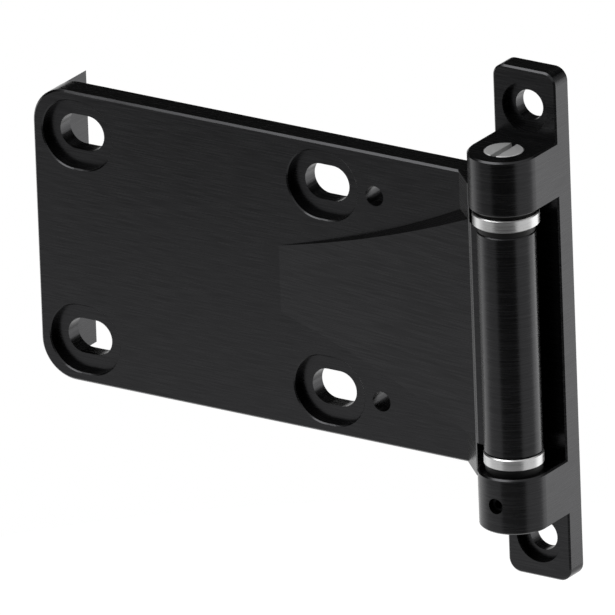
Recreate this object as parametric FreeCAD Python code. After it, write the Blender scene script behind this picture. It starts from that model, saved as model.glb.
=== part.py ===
"""Heavy surface-mounted pivot hinge, in millimetres.

The origin is the centre of the frame bracket's back face, which lies on the door frame.
+Z is up along the pin, +Y points into the frame and +X to the right.
The hinge is drawn closed: the door leaf lies to the left of the pin.
"""

import FreeCAD, Part
import math
import os

from FreeCAD import Vector

# Frame bracket
bar_width = 21.6
bar_thickness = 6.8
bar_height = 159.0
bar_corner_r = 4.0
lug_height = 17.2
pin_to_bar = 11.6
ear_hole_spacing = 134.6
ear_hole_d = 9.4
ear_counterbore_d = 15.4
ear_counterbore_depth = 2.8
bracket_edge = 0.5

# Pin and set screw
pin_d = 10.0
pin_head_d = 12.0
pin_head_height = 5.0
pin_end_inset = 1.0
pin_slot_width = 2.0
pin_slot_depth = 1.6
pin_edge = 0.4
lug_bore_clearance = 0.02
screw_d = 4.8
screw_length = 4.0
screw_socket_af = 2.5
screw_socket_depth = 1.8
screw_edge = 0.4

# Stack between the lugs, from the bottom to the top
lower_ring_thickness = 1.9
lower_washer_thickness = 3.6
lower_play = 0.2
barrel_length = 69.0
bush_flange_thickness = 2.0
upper_play = 0.1
upper_washer_thickness = 3.8
upper_ring_thickness = 1.4

# Round pieces round the pin
barrel_d = 17.5
barrel_edge = 0.4
bush_outer_d = 12.0
bush_length = 20.0
bush_flange_d = 17.0
bush_clearance = 0.05
upper_washer_d = 19.8
lower_washer_d = 17.8
washer_edge = 0.3
washer_clearance = 0.1
ring_d = 17.0

# Door leaf
leaf_reach = 170.0
leaf_height = 91.5
leaf_thickness = 8.0
leaf_face_offset = 6.7
leaf_corner_r = 11.5
leaf_edge = 0.6
lip_thickness = 4.0
lip_depth = 15.5
lip_edge = 0.6

# Screw slots and small holes in the leaf
slot_edge_distance = 15.5
slot_pitch_x = 86.0
slot_pitch_z = 64.5
slot_length = 15.4
slot_width = 11.0
slot_counterbore_length = 24.4
slot_counterbore_width = 21.2
slot_counterbore_depth = 2.9
slot_rim = 0.35
small_hole_edge_distance = 119.8
small_hole_d = 6.2

# Ramp, shoulder and neck between the plate and the barrel
ramp_length = 71.6
ramp_start_height = 21.0
ramp_middle_height = 41.6
ramp_end_height = 68.8
ramp_wall_lean = 0.42
ramp_sections = 7
shoulder_foot_x = 20.4
shoulder_top_x = 12.9
shoulder_top_rise = 7.2
crease_width = 1.5
crease_rise = 0.85
neck_rise = 0.5
neck_back_offset = 7.0
lug_running_gap = 1.4

# How far a cutter runs past a face, and a root runs into the piece that carries it
overrun = 1.0

# Places worked out from the sizes above
lug_r = bar_width / 2
pin_y = -(pin_to_bar + bar_thickness)
bar_front_y = -bar_thickness
lower_stack = lower_ring_thickness + lower_washer_thickness + lower_play
upper_stack = bush_flange_thickness + upper_play + upper_washer_thickness + upper_ring_thickness
lug_gap = lower_stack + barrel_length + upper_stack
lug_inner_z = lug_gap / 2
lug_outer_z = lug_inner_z + lug_height
barrel_bottom_z = -lug_inner_z + lower_stack
barrel_top_z = barrel_bottom_z + barrel_length
washer_bore_r = pin_d / 2 + washer_clearance
bush_bore_r = pin_d / 2 + bush_clearance
leaf_face_y = pin_y + leaf_face_offset
leaf_back_y = leaf_face_y + leaf_thickness
leaf_top_z = leaf_height / 2
shoulder_top_y = leaf_face_y - shoulder_top_rise
ramp_start_x = -shoulder_top_x - ramp_length
screw_z = -(lug_inner_z + lug_outer_z) / 2


def box(x0, x1, y0, y1, z0, z1):
    return Part.makeBox(x1 - x0, y1 - y0, z1 - z0, Vector(x0, y0, z0))


def upright(radius, z0, z1, x=0.0, y=pin_y):
    """Cylinder along Z, on the pin's axis unless a place is given."""
    return Part.makeCylinder(radius, z1 - z0, Vector(x, y, z0), Vector(0, 0, 1))


def across(radius, y0, y1, x, z):
    """Cylinder along Y."""
    return Part.makeCylinder(radius, y1 - y0, Vector(x, y0, z), Vector(0, 1, 0))


def oblong(length, width, y0, y1, x, z):
    """Round-ended slot along X, cut from y0 to y1."""
    half = (length - width) / 2
    radius = width / 2
    middle = box(x - half, x + half, y0, y1, z - radius, z + radius)
    return middle.fuse([across(radius, y0, y1, x - half, z), across(radius, y0, y1, x + half, z)])


def prism(points, z0, z1):
    """Upright prism over a plan outline of (x, y) points."""
    corners = [Vector(x, y, z0) for x, y in points]
    outline = Part.makePolygon(corners + corners[:1])
    return Part.Face(outline).extrude(Vector(0, 0, z1 - z0))


def edges_where(shape, test):
    """Edges of a shape whose every vertex and middle point passes the test."""
    found = []
    for edge in shape.Edges:
        middle = edge.valueAt((edge.FirstParameter + edge.LastParameter) / 2)
        if all(test(point) for point in [middle] + [v.Point for v in edge.Vertexes]):
            found.append(edge)
    return found


def near(a, b):
    return abs(a - b) < 1e-4


def ring(outer_d, bore_r, z0, z1, edge=0.0):
    """Washer on the pin's axis, with its outer rims broken by a small chamfer."""
    disc = upright(outer_d / 2, z0, z1)
    if edge:
        disc = disc.makeChamfer(edge, [e for e in disc.Edges if near(e.Length, math.pi * outer_d)])
    return disc.cut(upright(bore_r, z0 - overrun, z1 + overrun))


def make_bar():
    """Upright bar with rounded corners, an ear at each end and counterbored fixing holes."""
    outline = box(-lug_r, lug_r, bar_front_y, 0, -bar_height / 2, bar_height / 2)
    corners = edges_where(outline, lambda p: near(abs(p.x), lug_r) and near(abs(p.z), bar_height / 2))
    bar = outline.makeFillet(bar_corner_r, corners)
    bar = bar.makeChamfer(bracket_edge, edges_where(bar, lambda p: near(p.y, bar_front_y)))
    for side in (-1, 1):
        z = side * ear_hole_spacing / 2
        floor_y = bar_front_y + ear_counterbore_depth
        bar = bar.cut(across(ear_counterbore_d / 2, bar_front_y - overrun, floor_y, 0, z))
        bar = bar.cut(across(ear_hole_d / 2, bar_front_y - overrun, overrun, 0, z))
    return bar


def make_lug(z0, z1):
    """D-shaped lug: a half round in front of the pin, with straight sides back to the bar."""
    root_y = bar_front_y + bar_thickness / 2
    nose = upright(lug_r, z0, z1)
    lug = nose.fuse(box(-lug_r, lug_r, pin_y, root_y, z0, z1)).removeSplitter()
    rims = edges_where(lug, lambda p: near(p.z, z0) or near(p.z, z1))
    return lug.makeChamfer(bracket_edge, [e for e in rims if not near(e.CenterOfMass.y, root_y)])


def make_frame_bracket():
    """Bar, lugs, pin bores and the tapped hole of the set screw, machined from one piece."""
    upper = make_lug(lug_inner_z, lug_outer_z)
    lower = make_lug(-lug_outer_z, -lug_inner_z)
    bracket = make_bar().fuse([upper, lower]).removeSplitter()
    bore_r = pin_d / 2 + lug_bore_clearance
    head_r = pin_head_d / 2 + lug_bore_clearance
    head_z = lug_outer_z - pin_head_height
    bracket = bracket.cut(upright(bore_r, -lug_outer_z - overrun, lug_outer_z + overrun))
    bracket = bracket.cut(upright(head_r, head_z, lug_outer_z + overrun))
    return bracket.cut(across(screw_d / 2, pin_y - lug_r - overrun, pin_y, 0, screw_z))


def make_hinge_pin():
    """Turned pin with a slotted head, flush with the top of the upper lug."""
    head_z = lug_outer_z - pin_head_height
    foot_z = -lug_outer_z + pin_end_inset
    profile = [
        (0, foot_z),
        (pin_d / 2 - pin_edge, foot_z),
        (pin_d / 2, foot_z + pin_edge),
        (pin_d / 2, head_z),
        (pin_head_d / 2, head_z),
        (pin_head_d / 2, lug_outer_z - pin_edge),
        (pin_head_d / 2 - pin_edge, lug_outer_z),
        (0, lug_outer_z),
    ]
    corners = [Vector(r, pin_y, z) for r, z in profile]
    section = Part.Face(Part.makePolygon(corners + corners[:1]))
    pin = section.revolve(Vector(0, pin_y, 0), Vector(0, 0, 1), 360)
    half = pin_slot_width / 2
    slot_z = lug_outer_z - pin_slot_depth
    ends = pin_y - pin_head_d, pin_y + pin_head_d
    return pin.cut(box(-half, half, *ends, slot_z, lug_outer_z + overrun))


def make_pin_set_screw():
    """Headless socket screw in the lower lug, bearing on the pin."""
    tip_y = pin_y - pin_d / 2
    tail_y = tip_y - screw_length
    screw = across(screw_d / 2, tail_y, tip_y, 0, screw_z)
    screw = screw.makeChamfer(screw_edge, [e for e in screw.Edges if near(e.Length, math.pi * screw_d)])
    corner_r = screw_socket_af / math.sqrt(3)
    angles = [math.radians(60 * i) for i in range(6)]
    hexagon = [Vector(corner_r * math.cos(a), tail_y, screw_z + corner_r * math.sin(a)) for a in angles]
    socket = Part.Face(Part.makePolygon(hexagon + hexagon[:1]))
    return screw.cut(socket.extrude(Vector(0, screw_socket_depth, 0)))


def make_flanged_bush():
    """Bearing bush in the top of the barrel, with the flange that shows as a black ring."""
    flange = ring(bush_flange_d, bush_bore_r, barrel_top_z, barrel_top_z + bush_flange_thickness)
    sleeve = ring(bush_outer_d, bush_bore_r, barrel_top_z - bush_length, barrel_top_z)
    return flange.fuse(sleeve).removeSplitter()


def make_plain_bush():
    """Bearing bush in the bottom of the barrel, flush with its end."""
    return ring(bush_outer_d, bush_bore_r, barrel_bottom_z, barrel_bottom_z + bush_length)


def make_plate():
    """Flat plate of the leaf with rounded outer corners and broken edges."""
    plate = box(-leaf_reach, -shoulder_foot_x, leaf_face_y, leaf_back_y, -leaf_top_z, leaf_top_z)
    corners = edges_where(plate, lambda p: near(p.x, -leaf_reach) and near(abs(p.z), leaf_top_z))
    plate = plate.makeFillet(leaf_corner_r, corners)
    rims = edges_where(plate, lambda p: near(p.y, leaf_face_y))
    return plate.makeChamfer(leaf_edge, [e for e in rims if not near(e.CenterOfMass.x, -shoulder_foot_x)])


def make_lip():
    """Lip along the outer edge, turned back over the edge of the door."""
    root_y = leaf_back_y - overrun
    tip_y = leaf_back_y + lip_depth
    inner_x = -leaf_reach + lip_thickness
    blank = box(-leaf_reach, -leaf_reach + 2 * leaf_corner_r, root_y, tip_y, -leaf_top_z, leaf_top_z)
    corners = edges_where(blank, lambda p: near(p.x, -leaf_reach) and near(abs(p.z), leaf_top_z))
    blank = blank.makeFillet(leaf_corner_r, corners)
    lip = blank.common(box(-leaf_reach, inner_x, root_y, tip_y, -leaf_top_z, leaf_top_z))
    return lip.makeChamfer(lip_edge, edges_where(lip, lambda p: near(p.y, tip_y)))


def half_height(x):
    """Half height of the ramp's rim at x: a circular arc through its start, middle and end."""
    x0, x1 = ramp_start_x, -shoulder_top_x
    xm = (x0 + x1) / 2
    z0, zm, z1 = ramp_start_height / 2, ramp_middle_height / 2, ramp_end_height / 2
    arc = Part.Arc(Vector(x0, z0, 0), Vector(xm, zm, 0), Vector(x1, z1, 0)).toShape().Curve
    centre = arc.Center
    return centre.y - math.copysign(math.sqrt(arc.Radius**2 - (x - centre.x) ** 2), centre.y - zm)


def ramp_y(x):
    """Height of the ramp's flat top at x."""
    return leaf_face_y - shoulder_top_rise * (x - ramp_start_x) / ramp_length


def make_ramp():
    """Flared ramp: lofted sections with leaning side walls, cut flat along a slanting plane."""
    deep_y = leaf_face_y + leaf_thickness / 2
    high_y = shoulder_top_y - 2 * overrun
    sections = []
    for i in range(ramp_sections):
        share = i / (ramp_sections - 1)
        x = ramp_start_x + share * ramp_length
        lean = ramp_wall_lean * share
        low = half_height(x) + lean * (deep_y - ramp_y(x))
        high = half_height(x) - lean * (ramp_y(x) - high_y)
        corners = [
            Vector(x, deep_y, -low),
            Vector(x, deep_y, low),
            Vector(x, high_y, high),
            Vector(x, high_y, -high),
        ]
        sections.append(Part.makePolygon(corners + corners[:1]))
    blank = Part.makeLoft(sections, True, False)
    x0, x1 = ramp_start_x - overrun, -shoulder_top_x + overrun
    above = [(x0, ramp_y(x0)), (x1, ramp_y(x1)), (x1, high_y - overrun), (x0, high_y - overrun)]
    return blank.cut(prism(above, -leaf_height, leaf_height))


def make_shoulder():
    """Full-height end of the leaf, which rises on a slant to the ramp's end."""
    root_x = -shoulder_foot_x - overrun
    end_x = -(lug_r + lug_running_gap)
    outline = [
        (root_x, leaf_back_y),
        (root_x, leaf_face_y + overrun),
        (-shoulder_foot_x, leaf_face_y),
        (-shoulder_top_x, shoulder_top_y),
        (end_x, shoulder_top_y - crease_rise / 2),
        (end_x, leaf_back_y),
    ]
    return prism(outline, -leaf_top_z, leaf_top_z)


def make_neck():
    """Neck from the shoulder to the barrel, with a small crease at the ramp's end."""
    root_x = -shoulder_top_x - overrun
    crease_x = -shoulder_top_x + crease_width
    crease_y = shoulder_top_y - crease_rise
    inside_x = -barrel_d / 4
    outline = [
        (root_x, leaf_face_y),
        (root_x, ramp_y(root_x)),
        (-shoulder_top_x, shoulder_top_y),
        (crease_x, crease_y),
        (inside_x, crease_y - neck_rise),
        (inside_x, pin_y + neck_back_offset),
        (root_x, pin_y + neck_back_offset),
    ]
    return prism(outline, barrel_bottom_z, barrel_top_z)


def cut_screw_holes(leaf):
    """Four counterbored slots and two small holes through the plate."""
    floor_y = leaf_face_y + slot_counterbore_depth
    top_y = leaf_face_y - overrun
    deep_y = leaf_back_y + overrun
    for column in range(2):
        x = -leaf_reach + slot_edge_distance + column * slot_pitch_x
        for side in (-1, 1):
            z = side * slot_pitch_z / 2
            wide = oblong(slot_counterbore_length, slot_counterbore_width, top_y, floor_y, x, z)
            leaf = leaf.cut(wide).cut(oblong(slot_length, slot_width, top_y, deep_y, x, z))
            leaf = leaf.cut(slot_rim_cutter(x, z))
    for side in (-1, 1):
        x = -leaf_reach + small_hole_edge_distance
        leaf = leaf.cut(across(small_hole_d / 2, top_y, deep_y, x, side * slot_pitch_z / 2))
    return leaf


def slot_rim_cutter(x, z):
    """Shallow flared cutter that breaks the rim of one counterbore."""
    cutter = oblong(
        slot_counterbore_length + 2 * slot_rim,
        slot_counterbore_width + 2 * slot_rim,
        leaf_face_y - slot_rim,
        leaf_face_y + slot_rim,
        x,
        z,
    ).removeSplitter()
    deep = leaf_face_y + slot_rim
    return cutter.makeChamfer(slot_rim, edges_where(cutter, lambda p: near(p.y, deep)))


def make_door_leaf():
    """Plate, lip, ramp, shoulder, neck and barrel, made as one piece."""
    barrel = upright(barrel_d / 2, barrel_bottom_z, barrel_top_z)
    ends = [e for e in barrel.Edges if near(e.Length, math.pi * barrel_d)]
    barrel = barrel.makeChamfer(barrel_edge, ends)
    body = make_plate().fuse([make_lip(), make_shoulder(), make_ramp()])
    relief_r = lug_r + lug_running_gap
    body = body.cut(upright(relief_r, barrel_top_z, leaf_height))
    body = body.cut(upright(relief_r, -leaf_height, barrel_bottom_z))
    leaf = body.fuse([make_neck(), barrel]).removeSplitter()
    leaf = leaf.cut(upright(bush_outer_d / 2, barrel_bottom_z - overrun, barrel_top_z + overrun))
    return cut_screw_holes(leaf)


def make_parts():
    lower_ring_top = -lug_inner_z + lower_ring_thickness
    upper_ring_bottom = lug_inner_z - upper_ring_thickness
    lower_washer_top = lower_ring_top + lower_washer_thickness
    upper_washer_bottom = upper_ring_bottom - upper_washer_thickness
    return {
        "frame_bracket": make_frame_bracket(),
        "door_leaf": make_door_leaf(),
        "hinge_pin": make_hinge_pin(),
        "pin_set_screw": make_pin_set_screw(),
        "lower_slide_ring": ring(ring_d, washer_bore_r, -lug_inner_z, lower_ring_top),
        "lower_thrust_washer": ring(
            lower_washer_d, washer_bore_r, lower_ring_top, lower_washer_top, washer_edge
        ),
        "upper_thrust_washer": ring(
            upper_washer_d, washer_bore_r, upper_washer_bottom, upper_ring_bottom, washer_edge
        ),
        "upper_slide_ring": ring(ring_d, washer_bore_r, upper_ring_bottom, lug_inner_z),
        "upper_bearing_bush": make_flanged_bush(),
        "lower_bearing_bush": make_plain_bush(),
    }


os.makedirs("parts", exist_ok=True)
for name, shape in make_parts().items():
    if len(shape.Solids) == 1:
        shape = shape.Solids[0]
    print(name, "solids", len(shape.Solids), "valid", shape.isValid(), "volume", round(shape.Volume, 1))
    shape.exportStep(f"parts/{name}.step")
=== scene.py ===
"""Looks of a black surface-mounted pivot hinge: finishes, stage and camera.

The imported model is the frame, in metres: +Z up along the pin, +Y into the door frame, +X right.
"""

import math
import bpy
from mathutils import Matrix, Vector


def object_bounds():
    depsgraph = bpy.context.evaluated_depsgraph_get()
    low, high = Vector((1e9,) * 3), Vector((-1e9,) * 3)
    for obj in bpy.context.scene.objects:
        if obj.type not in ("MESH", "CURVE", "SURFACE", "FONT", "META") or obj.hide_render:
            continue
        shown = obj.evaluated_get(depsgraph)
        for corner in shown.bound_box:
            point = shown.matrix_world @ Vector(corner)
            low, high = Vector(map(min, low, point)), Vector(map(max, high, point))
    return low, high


bl_info = {
    "name": "Pivot Hinge",
    "version": (1, 0, 0),
    "blender": (4, 5, 0),
    "location": "View3D > Sidebar > Hinge",
    "description": "Finishes a black brushed pivot hinge and sets its studio",
    "category": "Object",
}

import bpy
import numpy as np
from bpy.props import FloatProperty, FloatVectorProperty, PointerProperty, StringProperty
from mathutils import Matrix, Vector

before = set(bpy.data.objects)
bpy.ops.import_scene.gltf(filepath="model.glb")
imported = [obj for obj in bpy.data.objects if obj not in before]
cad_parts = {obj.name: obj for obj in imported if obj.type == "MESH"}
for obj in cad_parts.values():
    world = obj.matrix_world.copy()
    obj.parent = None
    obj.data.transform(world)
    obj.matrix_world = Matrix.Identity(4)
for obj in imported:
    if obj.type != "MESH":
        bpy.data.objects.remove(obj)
cad_box = [list(corner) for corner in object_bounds()]

MM = 0.001
# The pin's axis is upright, at X = 0 and this Y
PIN_Y = -18.4 * MM
BLACK_NODES = ("frame_bracket", "door_leaf")
WASHER_NODES = ("lower_thrust_washer", "upper_thrust_washer")
POLYMER_NODES = ("lower_slide_ring", "upper_slide_ring", "upper_bearing_bush", "lower_bearing_bush")

# One pixel of the picture is about 0.3 mm wide, and finer marks would not show. Brushed lines,
# turned grooves and grain are drawn about that coarse.
ACETAL_GRAIN = 0.3 * MM
OXIDE_GRAIN = 0.4 * MM
GRAIN_DEPTH = 0.01 * MM
BRUSH_DEPTH = 0.02 * MM
TURNING_DEPTH = 0.012 * MM
MARK_STRENGTH = 0.3
# Noise keeps mostly between these two values
NOISE_LOW = 0.3
NOISE_HIGH = 0.7
# A face counts as level from this share of its normal along Z
LEVEL_FROM = 0.8
WHITE = "#FFFFFF"
MATT_ROUGHNESS = 0.9


class HingeFinishes(bpy.types.PropertyGroup):
    """Colours and surface sizes that a user would change."""

    black: StringProperty(name="Black coat", description="sRGB colour of the black coat", default="#2F2F30")
    black_roughness: FloatProperty(
        name="Coat roughness", description="Roughness of the black coat", default=0.26, min=0, max=1
    )
    brush_pitch: FloatProperty(
        name="Brush pitch", description="Height of one brushed line", default=0.36 * MM, unit="LENGTH"
    )
    brush_length: FloatProperty(
        name="Brush length", description="Length of one brushed line", default=11 * MM, unit="LENGTH"
    )
    steel: StringProperty(name="Steel", description="sRGB colour of the bare steel", default="#B4B4B4")
    turning_pitch: FloatProperty(
        name="Turning pitch", description="Width of one turned groove", default=0.25 * MM, unit="LENGTH"
    )
    polymer: StringProperty(name="Acetal", description="sRGB colour of the acetal", default="#060606")
    oxide: StringProperty(name="Black oxide", description="sRGB colour of the set screw", default="#1A1A1B")


class HingeStage(bpy.types.PropertyGroup):
    """Camera and studio."""

    azimuth: FloatProperty(name="Azimuth", description="Degrees; 0 looks along +Y", default=33.921)
    elevation: FloatProperty(name="Elevation", description="Degrees above the horizon", default=21.373)
    roll: FloatProperty(
        name="Roll", description="Degrees that the camera turns about its own axis", default=-2.096
    )
    aim: FloatVectorProperty(
        name="Aim",
        description="Point at the middle of the picture",
        default=(-0.070842, -0.018071, -0.004287),
        subtype="XYZ",
        unit="LENGTH",
    )
    distance: FloatProperty(name="Distance", description="Camera to aim", default=8.2, unit="LENGTH")
    view_width: FloatProperty(
        name="View width", description="Width seen at the aim", default=0.17988, unit="LENGTH"
    )
    floor_drop: FloatProperty(
        name="Floor drop", description="Floor below the hinge's foot", default=0.12, unit="LENGTH"
    )


def linear(code):
    """Linear RGBA of an sRGB hex colour."""
    channels = [int(code[i : i + 2], 16) / 255 for i in (1, 3, 5)]
    return [c / 12.92 if c <= 0.04045 else ((c + 0.055) / 1.055) ** 2.4 for c in channels] + [1.0]


def set_inputs(tree, node, inputs):
    """Gives each input of a node, found by name or place, a value or a link."""
    for key, value in inputs.items():
        socket = node.inputs[key]
        if isinstance(value, bpy.types.NodeSocket):
            tree.links.new(value, socket)
        else:
            socket.default_value = value


def add_node(tree, kind, inputs=None, **settings):
    """Adds a node with its settings, and gives its inputs their values and links."""
    node = tree.nodes.new(kind)
    for key, value in settings.items():
        setattr(node, key, value)
    set_inputs(tree, node, inputs or {})
    return node


def new_material(name):
    """A new material, its tree and its Principled shader, which is linked to the output."""
    material = bpy.data.materials.new(name)
    material.use_nodes = True
    tree = material.node_tree
    tree.nodes.clear()
    shader = add_node(tree, "ShaderNodeBsdfPrincipled")
    add_node(tree, "ShaderNodeOutputMaterial", {"Surface": shader.outputs[0]})
    return material, tree, shader


def horizontal_streaks(tree, pitch, length):
    """Noise drawn out along the horizontal: fine in Z on upright faces, and fine in Y on level ones."""
    place = add_node(tree, "ShaderNodeTexCoord").outputs["Object"]
    normal = add_node(tree, "ShaderNodeNewGeometry").outputs["True Normal"]
    fine_in_z = (1 / length, 1 / length, 1 / pitch)
    fine_in_y = (1 / length, 1 / pitch, 1 / length)
    upright = add_node(tree, "ShaderNodeMapping", {"Vector": place, "Scale": fine_in_z})
    level = add_node(tree, "ShaderNodeMapping", {"Vector": place, "Scale": fine_in_y})
    parts = add_node(tree, "ShaderNodeSeparateXYZ", {0: normal})
    along_z = add_node(tree, "ShaderNodeMath", {0: parts.outputs["Z"]}, operation="ABSOLUTE")
    is_level = add_node(
        tree, "ShaderNodeMath", {0: along_z.outputs[0], 1: LEVEL_FROM}, operation="GREATER_THAN"
    )
    # A Mix node's vectors are its inputs 4 and 5 and its output 1
    drawn = add_node(
        tree,
        "ShaderNodeMix",
        {0: is_level.outputs[0], 4: upright.outputs[0], 5: level.outputs[0]},
        data_type="VECTOR",
    )
    noise = add_node(tree, "ShaderNodeTexNoise", {"Vector": drawn.outputs[1], "Scale": 1.0, "Detail": 3.0})
    return noise.outputs[0]


def turning_marks(tree, pitch):
    """Noise in rings round the pin: it depends on the distance from its axis and on the height."""
    place = add_node(tree, "ShaderNodeTexCoord").outputs["Object"]
    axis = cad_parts["hinge_pin"].matrix_world.inverted() @ Vector((0, PIN_Y, 0))
    away = add_node(tree, "ShaderNodeVectorMath", {0: place, 1: axis}, operation="SUBTRACT")
    parts = add_node(tree, "ShaderNodeSeparateXYZ", {0: away.outputs[0]})
    flat = add_node(tree, "ShaderNodeCombineXYZ", {"X": parts.outputs["X"], "Y": parts.outputs["Y"]})
    radius = add_node(tree, "ShaderNodeVectorMath", {0: flat.outputs[0]}, operation="LENGTH")
    section = add_node(
        tree, "ShaderNodeCombineXYZ", {"X": radius.outputs["Value"], "Z": parts.outputs["Z"]}
    )
    noise = add_node(
        tree, "ShaderNodeTexNoise", {"Vector": section.outputs[0], "Scale": 1 / pitch, "Detail": 2.0}
    )
    return noise.outputs[0]


def show_marks(tree, shader, marks, colour, tint, roughness, spread, depth):
    """Draws a metal's marks into its colour, roughness and height.

    The marks run the colour between the two factors of tint, and the roughness by spread to each
    side.
    """
    darkest, lightest = tint
    noise = {"Value": marks, "From Min": NOISE_LOW, "From Max": NOISE_HIGH}
    shade = add_node(tree, "ShaderNodeMapRange", {**noise, "To Min": darkest, "To Max": lightest})
    rough = add_node(
        tree, "ShaderNodeMapRange", {**noise, "To Min": roughness - spread, "To Max": roughness + spread}
    )
    shaded = add_node(
        tree,
        "ShaderNodeVectorMath",
        {0: linear(colour)[:3], 1: shade.outputs[0]},
        operation="MULTIPLY",
    )
    bump = add_node(tree, "ShaderNodeBump", {"Height": marks, "Strength": MARK_STRENGTH, "Distance": depth})
    set_inputs(
        tree,
        shader,
        {
            "Base Color": shaded.outputs[0],
            "Metallic": 1.0,
            "Roughness": rough.outputs[0],
            "Normal": bump.outputs[0],
        },
    )


def grained_normal(tree, size, detail, strength):
    """Normal of a fine, even grain."""
    place = add_node(tree, "ShaderNodeTexCoord").outputs["Object"]
    grain = add_node(tree, "ShaderNodeTexNoise", {"Vector": place, "Scale": 1 / size, "Detail": detail})
    bump = add_node(
        tree,
        "ShaderNodeBump",
        {"Height": grain.outputs[0], "Strength": strength, "Distance": GRAIN_DEPTH},
    )
    return bump.outputs[0]


def brushed_black(finishes):
    """Anodised aluminium, line brushed and dyed black.

    The dark coat mirrors little face on and much at a grazing angle, and its lines run level.
    """
    material, tree, shader = new_material("anodised aluminium, brushed black")
    streaks = horizontal_streaks(tree, finishes.brush_pitch, finishes.brush_length)
    show_marks(
        tree,
        shader,
        streaks,
        finishes.black,
        tint=(0.82, 1.18),
        roughness=finishes.black_roughness,
        spread=0.04,
        depth=BRUSH_DEPTH,
    )
    return material


def turned_steel(finishes, name, roughness):
    """Stainless steel, turned: bright, with grooves round the pin's axis.

    The rougher it is, the duller and more even it looks.
    """
    material, tree, shader = new_material(name)
    marks = turning_marks(tree, finishes.turning_pitch)
    show_marks(
        tree,
        shader,
        marks,
        finishes.steel,
        tint=(0.92, 1.06),
        roughness=roughness,
        spread=0.05,
        depth=TURNING_DEPTH,
    )
    return material


def black_acetal(finishes):
    """Acetal, moulded black: a dark plastic with a soft sheen."""
    material, tree, shader = new_material("acetal, moulded black")
    set_inputs(
        tree,
        shader,
        {
            "Base Color": linear(finishes.polymer),
            "Roughness": 0.5,
            "Specular IOR Level": 0.2,
            "Normal": grained_normal(tree, ACETAL_GRAIN, detail=2.0, strength=0.15),
        },
    )
    return material


def black_oxide(finishes):
    """Alloy steel with a black oxide skin: dark, slightly oily."""
    material, tree, shader = new_material("alloy steel, black oxide")
    set_inputs(
        tree,
        shader,
        {
            "Base Color": linear(finishes.oxide),
            "Metallic": 1.0,
            "Roughness": 0.4,
            "Normal": grained_normal(tree, OXIDE_GRAIN, detail=3.0, strength=0.1),
        },
    )
    return material


def finish_nodes(names, material):
    """Gives the CAD nodes of a group one material."""
    for name in names:
        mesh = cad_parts[name].data
        mesh.materials.clear()
        mesh.materials.append(material)


class HINGE_OT_black_pieces(bpy.types.Operator):
    """Finish the frame bracket and the door leaf"""

    bl_idname = "hinge.black_pieces"
    bl_label = "Black pieces"

    def execute(self, context):
        finish_nodes(BLACK_NODES, brushed_black(context.scene.hinge_finishes))
        return {"FINISHED"}


class HINGE_OT_steel_pieces(bpy.types.Operator):
    """Finish the pin and the thrust washers"""

    bl_idname = "hinge.steel_pieces"
    bl_label = "Steel pieces"

    def execute(self, context):
        finishes = context.scene.hinge_finishes
        fine = turned_steel(finishes, "stainless steel, fine turned", roughness=0.3)
        coarse = turned_steel(finishes, "stainless steel, coarse turned", roughness=0.58)
        finish_nodes(WASHER_NODES, fine)
        finish_nodes(("hinge_pin",), coarse)
        return {"FINISHED"}


class HINGE_OT_polymer_pieces(bpy.types.Operator):
    """Finish the slide rings and the bearing bushes"""

    bl_idname = "hinge.polymer_pieces"
    bl_label = "Polymer pieces"

    def execute(self, context):
        finish_nodes(POLYMER_NODES, black_acetal(context.scene.hinge_finishes))
        return {"FINISHED"}


class HINGE_OT_set_screw(bpy.types.Operator):
    """Finish the set screw"""

    bl_idname = "hinge.set_screw"
    bl_label = "Set screw"

    def execute(self, context):
        finish_nodes(("pin_set_screw",), black_oxide(context.scene.hinge_finishes))
        return {"FINISHED"}


# Soft boxes, in degrees and metres, placed from the camera's aim
SOFT_BOXES = (
    dict(name="overhead_box", azimuth=240, elevation=64, distance=0.75, width=0.48, strength=5.2),
    dict(name="right_box", azimuth=56, elevation=-14, distance=0.80, width=0.60, strength=1.2),
    dict(name="left_box", azimuth=188, elevation=-14, distance=0.80, width=0.45, strength=0.7),
)
# Cards that metal mirrors in place of the white background, from start to end in degrees of
# azimuth, in metres from the camera's aim
CARDS = (
    dict(name="back_card", start=50, end=200, radius=0.55, bottom=0.07, top=0.62, colour="#141414"),
    dict(name="viewer_card", start=268, end=340, radius=0.50, bottom=-0.27, top=0.20, colour="#5C5C5C"),
    dict(name="left_card", start=226, end=267, radius=0.50, bottom=-0.165, top=0.16, colour="#C4C4C4"),
)
CARD_SEGMENTS = 24
# Strength of the white background where it lights matt surfaces
BACKGROUND_DIFFUSE = 0.45
FLOOR_X = -0.07
FLOOR_RADIUS = 0.32
FLOOR_SIDES = 96
FLOOR_COLOUR = "#7C7C7C"
FLOOR_GLOW = 0.86
# Width of the camera's sensor, in Blender's millimetres
SENSOR_WIDTH = 36


def heading(azimuth, elevation):
    """Unit vector towards a place in the studio, from degrees; azimuth 0 is +X and 90 is +Y."""
    turn, lift = math.radians(azimuth), math.radians(elevation)
    return Vector((math.cos(turn) * math.cos(lift), math.sin(turn) * math.cos(lift), math.sin(lift)))


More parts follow.
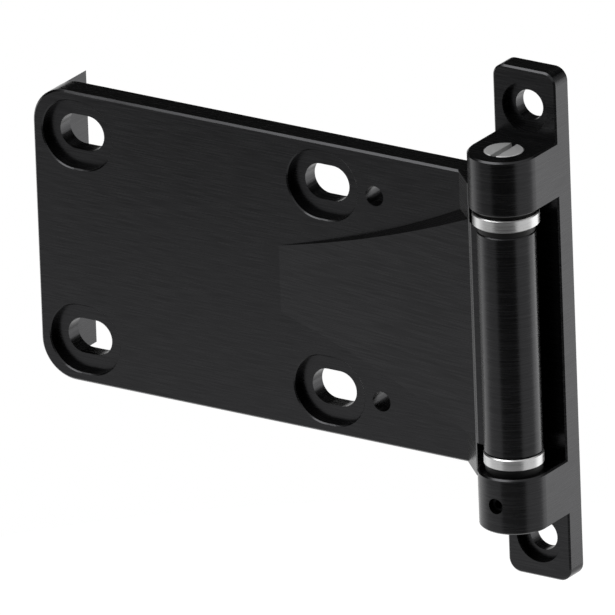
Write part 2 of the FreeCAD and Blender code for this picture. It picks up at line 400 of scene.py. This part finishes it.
def make_world(scene):
    """White background, which metal mirrors too; matt surfaces get less than half its light."""
    world = bpy.data.worlds.new("studio")
    scene.world = world
    world.use_nodes = True
    tree = world.node_tree
    tree.nodes.clear()
    path = add_node(tree, "ShaderNodeLightPath")
    seen = add_node(
        tree,
        "ShaderNodeMath",
        {0: path.outputs["Is Camera Ray"], 1: path.outputs["Is Glossy Ray"]},
        operation="MAXIMUM",
    )
    shown = add_node(
        tree,
        "ShaderNodeMath",
        {0: seen.outputs[0], 1: path.outputs["Is Transmission Ray"]},
        operation="MAXIMUM",
    )
    # A Mix node's plain values are its inputs 2 and 3 and its output 0
    strength = add_node(tree, "ShaderNodeMix", {0: shown.outputs[0], 2: BACKGROUND_DIFFUSE, 3: 1.0})
    background = add_node(
        tree, "ShaderNodeBackground", {"Color": linear(WHITE), "Strength": strength.outputs[0]}
    )
    add_node(tree, "ShaderNodeOutputWorld", {"Surface": background.outputs[0]})


def make_soft_box(scene, aim, name, azimuth, elevation, distance, width, strength):
    """Square area lamp that faces the hinge; its power grows with its area."""
    data = bpy.data.lights.new(name, "AREA")
    data.shape = "SQUARE"
    data.size = width
    data.energy = strength * math.pi * width**2
    lamp = bpy.data.objects.new(name, data)
    scene.collection.objects.link(lamp)
    towards = heading(azimuth, elevation)
    turn = towards.to_track_quat("Z", "Y").to_matrix().to_4x4()
    lamp.matrix_world = Matrix.Translation(aim + towards * distance) @ turn
    lamp.visible_camera = False


def make_card(scene, aim, name, start, end, radius, bottom, top, colour):
    """Curved matt card round the hinge, hidden from the camera.

    Each point is the aim plus (radius cos u, radius sin u, v), with u running from start to end
    and v the bottom and the top.
    """
    u, v = np.meshgrid(
        np.radians(np.linspace(start, end, CARD_SEGMENTS + 1)), (bottom, top), indexing="ij"
    )
    points = np.stack((radius * np.cos(u), radius * np.sin(u), v), axis=-1) + np.array(aim)
    first = 2 * np.arange(CARD_SEGMENTS)
    faces = np.stack((first, first + 2, first + 3, first + 1), axis=-1)
    mesh = bpy.data.meshes.new(name)
    mesh.from_pydata(points.reshape(-1, 3).tolist(), [], faces.tolist())
    material, tree, shader = new_material(name.replace("_", " "))
    set_inputs(tree, shader, {"Base Color": linear(colour), "Roughness": MATT_ROUGHNESS})
    mesh.materials.append(material)
    card = bpy.data.objects.new(name, mesh)
    scene.collection.objects.link(card)
    card.visible_camera = False
    card.visible_diffuse = False
    card.visible_shadow = False


def make_floor(stage):
    """Pale round floor below the hinge, bright by itself and lit a little, so that a shadow shows."""
    level = cad_box[0][2] - stage.floor_drop
    bpy.ops.mesh.primitive_circle_add(
        vertices=FLOOR_SIDES, radius=FLOOR_RADIUS, fill_type="NGON", location=(0, 0, 0)
    )
    floor = bpy.context.object
    floor.name = "studio_floor"
    floor.data.transform(Matrix.Translation((FLOOR_X, 0, level)))
    material, tree, shader = new_material("painted studio floor")
    set_inputs(
        tree,
        shader,
        {
            "Base Color": linear(FLOOR_COLOUR),
            "Roughness": MATT_ROUGHNESS,
            "Emission Color": linear(WHITE),
            "Emission Strength": FLOOR_GLOW,
        },
    )
    floor.data.materials.append(material)


def make_camera(scene, stage):
    """Long-lens camera; its axes are worked out from azimuth, elevation and roll."""
    degrees = (stage.azimuth, stage.elevation, stage.roll)
    turn, lift, roll = (math.radians(angle) for angle in degrees)
    ahead = Vector((-math.sin(turn) * math.cos(lift), math.cos(turn) * math.cos(lift), -math.sin(lift)))
    level = Vector((math.cos(turn), math.sin(turn), 0))
    upright = level.cross(ahead)
    right = level * math.cos(roll) + upright * math.sin(roll)
    up = upright * math.cos(roll) - level * math.sin(roll)
    data = bpy.data.cameras.new("camera")
    data.sensor_width = SENSOR_WIDTH
    data.lens = data.sensor_width * stage.distance / stage.view_width
    data.clip_end = 2 * stage.distance
    camera = bpy.data.objects.new("camera", data)
    scene.collection.objects.link(camera)
    place = Vector(stage.aim) - ahead * stage.distance
    axes = Matrix((right, up, -ahead)).transposed().to_4x4()
    camera.matrix_world = Matrix.Translation(place) @ axes
    scene.camera = camera


class HINGE_OT_stage(bpy.types.Operator):
    """Make the world, the floor, the soft boxes, the cards and the camera"""

    bl_idname = "hinge.stage"
    bl_label = "Stage"

    def execute(self, context):
        scene = context.scene
        stage = scene.hinge_stage
        aim = Vector(stage.aim)
        make_world(scene)
        make_floor(stage)
        for box in SOFT_BOXES:
            make_soft_box(scene, aim, **box)
        for card in CARDS:
            make_card(scene, aim, **card)
        make_camera(scene, stage)
        scene.view_settings.view_transform = "Standard"
        return {"FINISHED"}


class HINGE_PT_panel(bpy.types.Panel):
    """Steps of the hinge, in order"""

    bl_label = "Pivot hinge"
    bl_space_type = "VIEW_3D"
    bl_region_type = "UI"
    bl_category = "Hinge"

    def draw(self, context):
        for step in STEPS:
            self.layout.operator(step.bl_idname)
        for group in (context.scene.hinge_finishes, context.scene.hinge_stage):
            for name in group.__annotations__:
                self.layout.prop(group, name)


STEPS = (
    HINGE_OT_black_pieces,
    HINGE_OT_steel_pieces,
    HINGE_OT_polymer_pieces,
    HINGE_OT_set_screw,
    HINGE_OT_stage,
)
CLASSES = (HingeFinishes, HingeStage, *STEPS, HINGE_PT_panel)


def register():
    for cls in CLASSES:
        bpy.utils.register_class(cls)
    bpy.types.Scene.hinge_finishes = PointerProperty(type=HingeFinishes)
    bpy.types.Scene.hinge_stage = PointerProperty(type=HingeStage)


def unregister():
    del bpy.types.Scene.hinge_finishes
    del bpy.types.Scene.hinge_stage
    for cls in reversed(CLASSES):
        bpy.utils.unregister_class(cls)


def main():
    register()
    bpy.ops.hinge.black_pieces()
    bpy.ops.hinge.steel_pieces()
    bpy.ops.hinge.polymer_pieces()
    bpy.ops.hinge.set_screw()
    bpy.ops.hinge.stage()


if __name__ == "__main__":
    main()
